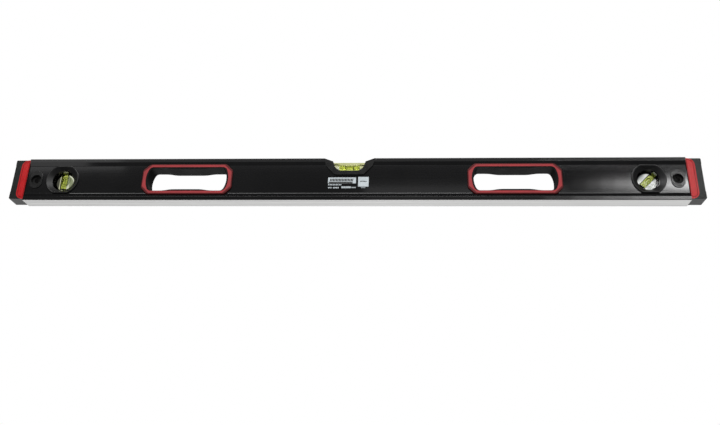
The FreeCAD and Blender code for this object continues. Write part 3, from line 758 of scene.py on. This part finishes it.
def make_world():
    """White to the camera and through glass. Gloss mirrors a dim room with a white sweep low behind."""
    white, fill = (1.0, 1.0, 1.0, 1), (0.56, 0.56, 0.57, 1)
    room_low, room_high = 0.12, 0.05
    world = bpy.data.worlds.new("studio")
    bpy.context.scene.world = world
    world.use_nodes = True
    tree = world.node_tree
    rays = add(tree, "ShaderNodeLightPath").outputs
    way = coordinates(tree, "Generated")
    behind = between(tree, way["Y"], 0.5, 0.75)
    low = between(tree, way["Z"], -0.3, -0.1, 1.0, 0.0)
    sweep = maths(tree, "MULTIPLY", behind, low)
    room = between(tree, way["Z"], 0.5, 0.8, room_low, room_high)
    mirrored = mixed(tree, sweep, room, white)
    seen = maths(tree, "MAXIMUM", rays["Is Camera Ray"], rays["Is Transmission Ray"])
    colour = mixed(tree, rays["Is Glossy Ray"], fill, mirrored)
    colour = mixed(tree, seen, colour, white)
    tree.links.new(colour, tree.nodes["Background"].inputs["Color"])


def add_lamp(name, place, width, height, brightness, turn=(90, 0, 0)):
    """A soft lamp that faces the front of the level unless it is turned. Brightness 1 is the surround's."""
    data = bpy.data.lights.new(name, "AREA")
    data.shape = "RECTANGLE"
    data.size, data.size_y = width, height
    data.energy = brightness * math.pi * width * height
    lamp = bpy.data.objects.new(name, data)
    lamp.location = place
    lamp.rotation_euler = [math.radians(angle) for angle in turn]
    bpy.context.scene.collection.objects.link(lamp)


def add_lamp_row(name, parts, z, height, turn=(90, 0, 0)):
    """Lamps side by side in front of the level, each from its left end to its right one."""
    for number, (left, right, brightness) in enumerate(parts, 1):
        place = ((left + right) / 2, LAMP_PLANE, z)
        add_lamp("%s_%d" % (name, number), place, right - left, height, brightness, turn)


make_floor()
make_world()
LAMP_PLANE = -2.0
row_above = ((-1.72, -0.90, 5.5), (-0.90, -0.25, 7.0), (-0.25, 0.45, 9.5), (0.45, 1.38, 4.5))
row_right = ((0.78, 0.84, 0.5), (0.84, 0.90, 1.6), (0.90, 0.96, 3.8), (0.96, 1.03, 6.5),
             (1.03, 1.11, 11.0), (1.11, 1.20, 17.0), (1.20, 1.40, 24.0))
row_right_low = ((0.66, 0.78, 1.3), (0.78, 0.90, 2.8), (0.90, 1.02, 4.8), (1.02, 1.14, 7.0),
                 (1.14, 1.40, 8.0))
add_lamp_row("lamp_above", row_above, 2.0, 0.9, (45, 0, 0))
add_lamp("lamp_front", (0.2, LAMP_PLANE, 1.31), 2.8, 0.44, 0.55)
add_lamp("lamp_left", (-1.55, LAMP_PLANE, 1.25), 0.75, 0.40, 1.0, (90, -2.0, 0))
add_lamp("lamp_left_low", (-1.60, LAMP_PLANE, -0.55), 0.7, 0.5, 0.8)
add_lamp("lamp_far_right", (1.95, LAMP_PLANE, 1.0), 1.0, 0.9, 2.5)
add_lamp("lamp_low", (0.33, LAMP_PLANE, 0.95), 0.86, 0.05, 0.6)
add_lamp("lamp_right_high", (1.1, LAMP_PLANE, 1.10), 0.9, 0.03, 7.0)
add_lamp("lamp_below", (0.1, LAMP_PLANE, 0.4), 3.0, 0.6, 0.5)
add_lamp("lamp_back", (0.3, 2.2, 1.8), 2.4, 0.5, 0.5, (-50, 0, 0))
add_lamp_row("lamp_right", row_right, 0.984, 0.04)
add_lamp_row("lamp_right_low", row_right_low, 0.918, 0.03)


# Camera. It stands a little below the level and to the right of its middle, and looks up along the
# measuring face.
def make_camera():
    stand = Vector((85.11, -1007.98, -455.75)) * MM
    right, up = Vector((0.99808, 0.05642, 0.02562)), Vector((-0.00086, -0.40087, 0.91613))
    ahead = Vector((-0.06196, 0.9144, 0.40005))
    data = bpy.data.cameras.new("photo_camera")
    data.sensor_width, data.lens = 36.0, 38.511
    data.clip_start, data.clip_end = 0.05, 50.0
    camera = bpy.data.objects.new("photo_camera", data)
    turn = Matrix((right, up, -ahead)).transposed().to_4x4()
    camera.matrix_world = Matrix.Translation(stand) @ turn
    bpy.context.scene.collection.objects.link(camera)
    bpy.context.scene.camera = camera


make_camera()
bpy.context.scene.view_settings.view_transform = "Standard"
